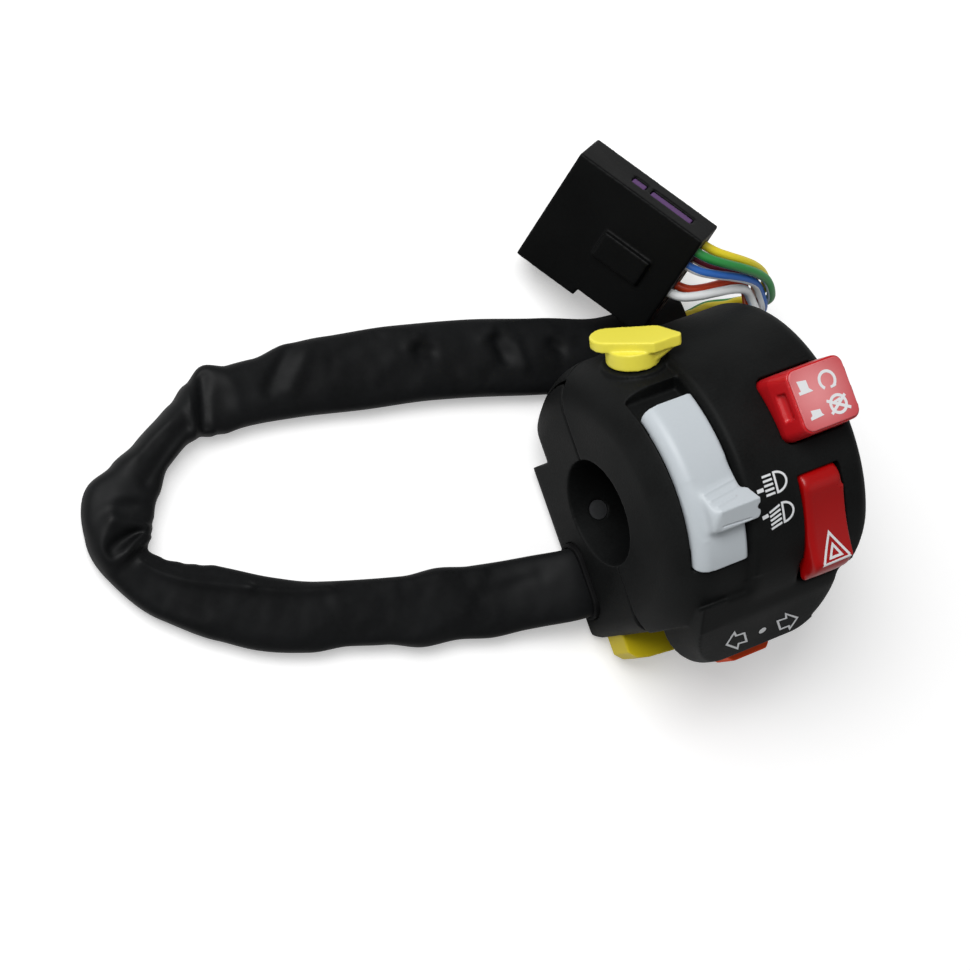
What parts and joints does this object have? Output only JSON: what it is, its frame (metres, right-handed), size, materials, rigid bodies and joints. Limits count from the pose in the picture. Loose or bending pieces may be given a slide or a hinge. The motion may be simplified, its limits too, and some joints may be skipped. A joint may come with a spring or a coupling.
{
  "type": "handlebar switch cluster",
  "caption": "Left-hand clamp-on handlebar switch cluster with sliders, push buttons, a rocker, a small lever and a sleeved harness looping to a block connector.",
  "frame": {"origin": "middle of the handlebar bore, on its axis, halfway along the housing", "axes": "+X along the handlebar from the grip side to the inner side; +Y across the housing towards the small yellow lever, away from the turn signal knob; +Z out of the face with the slider, kill button and rocker, away from the flat back"},
  "size_m": [0.1544, 0.109, 0.0619],
  "materials": {
    "shell_black": "fine moulded grain, satin",
    "shell_black_rear": "fine moulded grain, satin",
    "screw_steel": "zinc plated",
    "insert_brass": "knurled brass",
    "slider_white": "semi-gloss white plastic",
    "inner_grey": "moulded acetal",
    "contact_brass": "tinned brass strip",
    "ball_steel": "polished",
    "spring_steel": "drawn wire",
    "contact_board": "paper-resin laminate",
    "button_red": "smooth red plastic",
    "label_pink": "pale raised label with white marks",
    "plunger_white": "moulded nylon",
    "switch_black": "moulded nylon",
    "rocker_red": "smooth red plastic",
    "knob_orange": "smooth orange plastic",
    "button_yellow": "smooth yellow plastic",
    "lever_yellow": "smooth yellow plastic",
    "arm_zinc": "cast zinc",
    "grommet_rubber": "soft black rubber",
    "sleeve_black": "soft matte vinyl tube",
    "wire_yellow": "wire insulation",
    "wire_green": "wire insulation",
    "wire_orange": "wire insulation",
    "wire_blue": "wire insulation",
    "wire_white": "wire insulation",
    "wire_brown": "wire insulation",
    "connector_black": "moulded nylon",
    "lock_purple": "moulded nylon"
  },
  "bodies": {
    "housing": {"front_shell": "shell_black", "rear_shell": "shell_black_rear", "housing_screws": "screw_steel", "screw_inserts": "insert_brass", "bar_lock_screw": "screw_steel", "headlight_contact_base": "contact_board", "headlight_contacts": "contact_brass", "kill_switch_body": "switch_black", "kill_spring": "spring_steel", "hazard_pin": "ball_steel", "hazard_base": "switch_black", "hazard_contacts": "contact_brass", "turn_contact_base": "contact_board", "turn_contacts": "contact_brass", "horn_contact": "contact_brass", "horn_base": "contact_board", "horn_spring": "spring_steel", "harness_grommet": "grommet_rubber", "harness_sleeve": "sleeve_black", "wire_yellow": "wire_yellow", "wire_green": "wire_green", "wire_orange": "wire_orange", "wire_blue": "wire_blue", "wire_white": "wire_white", "wire_brown": "wire_brown", "connector_housing": "connector_black", "connector_lock": "lock_purple", "connector_terminals": "contact_brass"},
    "headlight_switch": {"headlight_slider": "slider_white", "slider_carriage": "inner_grey", "slider_wiper": "contact_brass", "slider_detent_ball": "ball_steel", "slider_detent_spring": "spring_steel"},
    "kill_switch": {"kill_button": "button_red", "kill_label": "label_pink", "kill_plunger": "plunger_white"},
    "hazard_switch": {"hazard_rocker": "rocker_red", "hazard_bridge": "contact_brass"},
    "turn_switch": {"turn_knob": "knob_orange", "turn_carriage": "inner_grey", "turn_wiper": "contact_brass"},
    "horn": {"horn_button": "button_yellow"},
    "choke": {"choke_lever": "lever_yellow", "choke_cable_arm": "arm_zinc", "choke_arm_screw": "screw_steel"}
  },
  "joints": [
    {"name": "headlight_slide", "type": "hinge", "parent": "housing", "child": "headlight_switch", "pos_m": [-0.01425, 0, 0], "axis": [-1, 0, 0], "range_deg": [0, 10]},
    {"name": "kill_push", "type": "slide", "parent": "housing", "child": "kill_switch", "axis": [0, -0.0523, -0.9986], "range_m": [0, 0.0025], "stiffness_N_per_m": 600, "springref_m": -0.001, "deforming": ["kill_spring"]},
    {"name": "hazard_rock", "type": "hinge", "parent": "housing", "child": "hazard_switch", "pos_m": [0.00925, -0.0128, 0.01971], "axis": [1, 0, 0], "range_deg": [0, 24]},
    {"name": "turn_slide", "type": "slide", "parent": "housing", "child": "turn_switch", "axis": [1, 0, 0], "range_m": [-0.0035, 0.0035]},
    {"name": "horn_push", "type": "slide", "parent": "housing", "child": "horn", "axis": [0, 1, 0], "range_m": [0, 0.0025], "stiffness_N_per_m": 500, "springref_m": -0.001, "deforming": ["horn_spring"]},
    {"name": "choke_turn", "type": "hinge", "parent": "housing", "child": "choke", "pos_m": [-0.01255, 0.02649, 0.01408], "axis": [0, 0.8829, 0.4695], "range_deg": [0, 60]}
  ]
}
